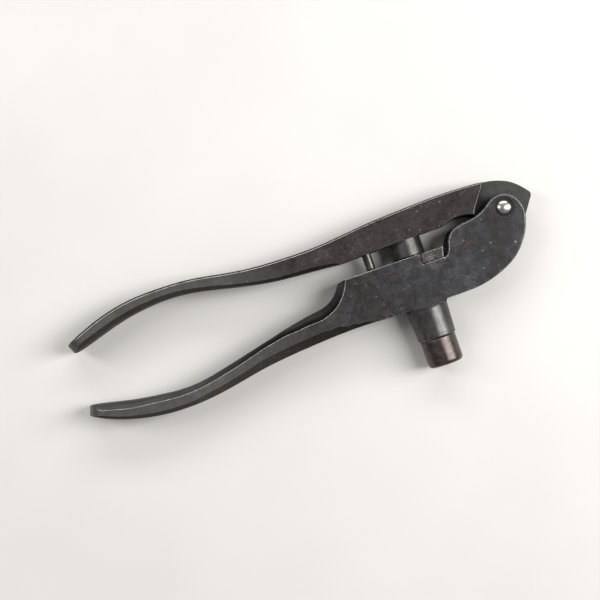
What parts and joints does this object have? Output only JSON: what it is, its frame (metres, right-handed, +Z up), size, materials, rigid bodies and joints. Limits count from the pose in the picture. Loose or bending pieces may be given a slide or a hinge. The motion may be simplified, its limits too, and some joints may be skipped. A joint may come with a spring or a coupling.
{
  "type": "hand cartridge seating and crimping tool",
  "caption": "Tong-shaped steel hand tool: two long levers hinged at a forked head, a round plunger closing on a die that seats and crimps, a small seating punch and an extractor.",
  "frame": {"origin": "on the hinge axis, in the plane the tool lies on (the lower side face of the levers)", "axes": "tool lying on its side: +X from the handles to the nose, +Y along the die axis from the die towards the plunger, +Z up along the hinge axis"},
  "size_m": [0.2355, 0.0802, 0.0216],
  "materials": {
    "die_lever": "browned and worn forged steel",
    "plunger_lever": "browned and worn forged steel",
    "pivot_pin": "polished steel",
    "plunger": "turned steel, oiled",
    "priming_punch": "turned steel, oiled",
    "die_body": "reamed and polished steel",
    "die_end_cap": "blued turned steel",
    "seating_stem": "turned steel",
    "stem_adjusting_screw": "blued turned steel",
    "extractor": "hardened steel, worn",
    "extractor_pin": "ground steel"
  },
  "bodies": {
    "base": {"die_lever": "die_lever", "pivot_pin": "pivot_pin", "die_body": "die_body", "die_end_cap": "die_end_cap", "seating_stem": "seating_stem", "stem_adjusting_screw": "stem_adjusting_screw", "extractor_pin": "extractor_pin"},
    "handle": {"plunger_lever": "plunger_lever", "plunger": "plunger", "priming_punch": "priming_punch"},
    "rocker": {"extractor": "extractor"}
  },
  "joints": [
    {"name": "handle_hinge", "type": "hinge", "parent": "base", "child": "handle", "pos_m": [0, 0, 0.01025], "axis": [0, 0, -1], "range_deg": [0, 55]},
    {"name": "extractor_rock", "type": "hinge", "parent": "base", "child": "rocker", "pos_m": [-0.0235, -0.015, 0.01025], "axis": [0, 0, -1], "range_deg": [0, 13.75]}
  ],
  "couplings": [
    {"joint": "extractor_rock", "follows": "handle_hinge", "ratio": 0.25}
  ]
}
